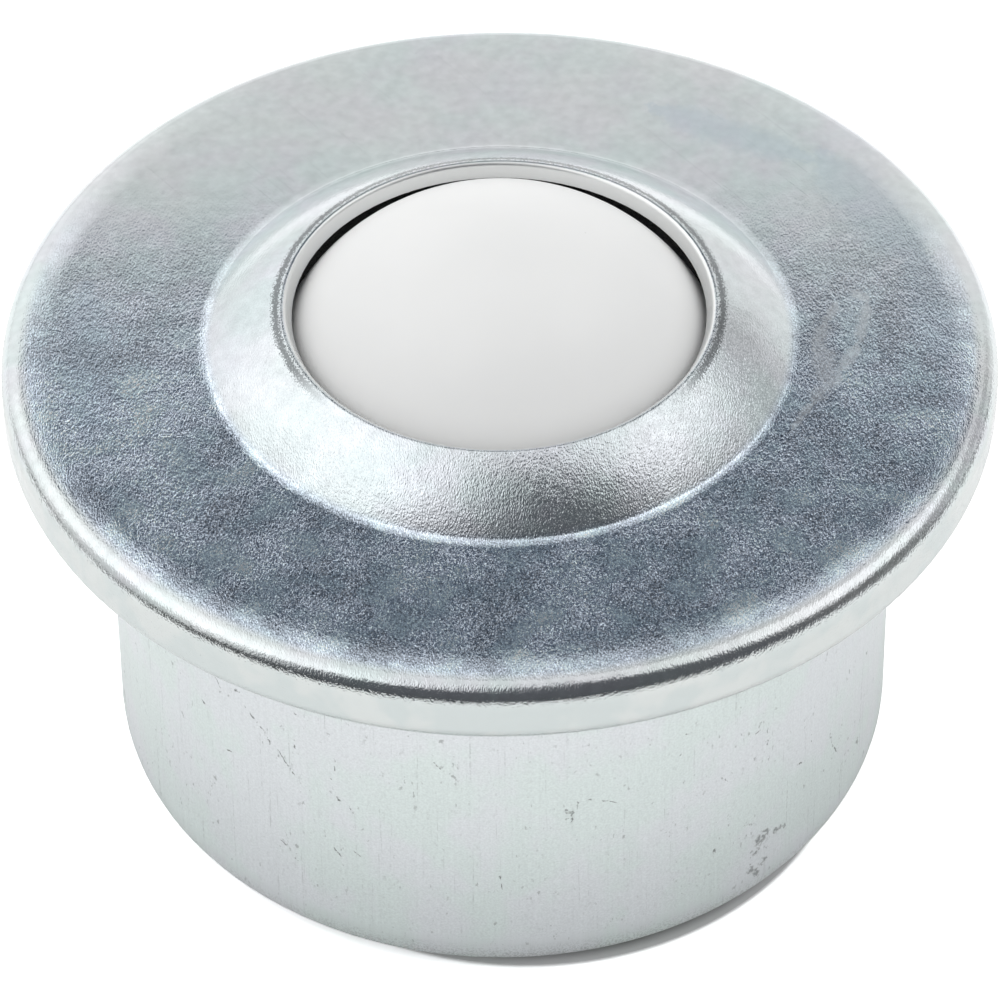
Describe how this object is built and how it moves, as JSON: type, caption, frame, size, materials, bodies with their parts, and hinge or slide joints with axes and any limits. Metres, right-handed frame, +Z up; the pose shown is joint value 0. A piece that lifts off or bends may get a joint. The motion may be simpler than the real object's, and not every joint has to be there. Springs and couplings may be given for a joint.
{
  "type": "ball transfer unit",
  "caption": "Flanged ball transfer unit: plastic load ball on a bed of steel bearing balls in a drawn zinc-plated steel cup with a folded cover flange and raised collar.",
  "frame": {"origin": "centre of the cup's base, on the plane the unit stands on", "axes": "+Z up along the axis of symmetry, from the cup's base to the load ball's crown"},
  "size_m": [0.045, 0.045, 0.0289],
  "materials": {
    "zinc_cup": "bright blue-passivated zinc plate over drawn steel sheet, pale, with fine draw marks, scuffs and short scratches",
    "zinc_cover": "bright zinc plate with fine orange-peel grain, glossy on the collar, mottled blue-grey on the flange",
    "hardened_seat": "hardened steel, dull grey outside, burnished raceway",
    "ring_plastic": "black moulded nylon",
    "seal_felt": "dark grey pressed felt",
    "ball_nylon": "white nylon, satin",
    "bearing_steel": "polished bearing steel"
  },
  "bodies": {
    "housing": {"housing_cup": "zinc_cup", "top_cover": "zinc_cover", "bearing_seat": "hardened_seat", "retaining_ring": "ring_plastic", "felt_seal": "seal_felt"},
    "centre_bearing_ball": {"bearing_ball_centre": "bearing_steel"},
    "load_ball": {"load_ball": "ball_nylon"},
    "bearing_balls": {"bearing_ball_row1_01": "bearing_steel", "bearing_ball_row1_02": "bearing_steel", "bearing_ball_row1_03": "bearing_steel", "bearing_ball_row1_04": "bearing_steel", "bearing_ball_row1_05": "bearing_steel", "bearing_ball_row1_06": "bearing_steel", "bearing_ball_row2_01": "bearing_steel", "bearing_ball_row2_02": "bearing_steel", "bearing_ball_row2_03": "bearing_steel", "bearing_ball_row2_04": "bearing_steel", "bearing_ball_row2_05": "bearing_steel", "bearing_ball_row2_06": "bearing_steel", "bearing_ball_row2_07": "bearing_steel", "bearing_ball_row2_08": "bearing_steel", "bearing_ball_row2_09": "bearing_steel", "bearing_ball_row2_10": "bearing_steel", "bearing_ball_row2_11": "bearing_steel", "bearing_ball_row3_01": "bearing_steel", "bearing_ball_row3_02": "bearing_steel", "bearing_ball_row3_03": "bearing_steel", "bearing_ball_row3_04": "bearing_steel", "bearing_ball_row3_05": "bearing_steel", "bearing_ball_row3_06": "bearing_steel", "bearing_ball_row3_07": "bearing_steel", "bearing_ball_row3_08": "bearing_steel", "bearing_ball_row3_09": "bearing_steel", "bearing_ball_row3_10": "bearing_steel", "bearing_ball_row3_11": "bearing_steel", "bearing_ball_row3_12": "bearing_steel", "bearing_ball_row3_13": "bearing_steel", "bearing_ball_row3_14": "bearing_steel", "bearing_ball_row3_15": "bearing_steel", "bearing_ball_row3_16": "bearing_steel", "bearing_ball_row4_01": "bearing_steel", "bearing_ball_row4_02": "bearing_steel", "bearing_ball_row4_03": "bearing_steel", "bearing_ball_row4_04": "bearing_steel", "bearing_ball_row4_05": "bearing_steel", "bearing_ball_row4_06": "bearing_steel", "bearing_ball_row4_07": "bearing_steel", "bearing_ball_row4_08": "bearing_steel", "bearing_ball_row4_09": "bearing_steel", "bearing_ball_row4_10": "bearing_steel", "bearing_ball_row4_11": "bearing_steel", "bearing_ball_row4_12": "bearing_steel", "bearing_ball_row4_13": "bearing_steel", "bearing_ball_row4_14": "bearing_steel", "bearing_ball_row4_15": "bearing_steel", "bearing_ball_row4_16": "bearing_steel", "bearing_ball_row4_17": "bearing_steel", "bearing_ball_row4_18": "bearing_steel", "bearing_ball_row4_19": "bearing_steel"}
  },
  "joints": [
    {"name": "ball_turn", "type": "hinge", "parent": "housing", "child": "centre_bearing_ball", "pos_m": [0, 0, 0.01778], "axis": [0, 0, 1], "continuous": true},
    {"name": "ball_roll", "type": "hinge", "parent": "centre_bearing_ball", "child": "load_ball", "pos_m": [0, 0, 0.01778], "axis": [1, 0, 0], "continuous": true},
    {"name": "bearing_ball_orbit", "type": "hinge", "parent": "housing", "child": "bearing_balls", "pos_m": [0, 0, 0.01778], "axis": [0, 0, 1], "continuous": true}
  ],
  "couplings": [
    {"joint": "bearing_ball_orbit", "follows": "ball_turn", "ratio": 0.42253}
  ]
}
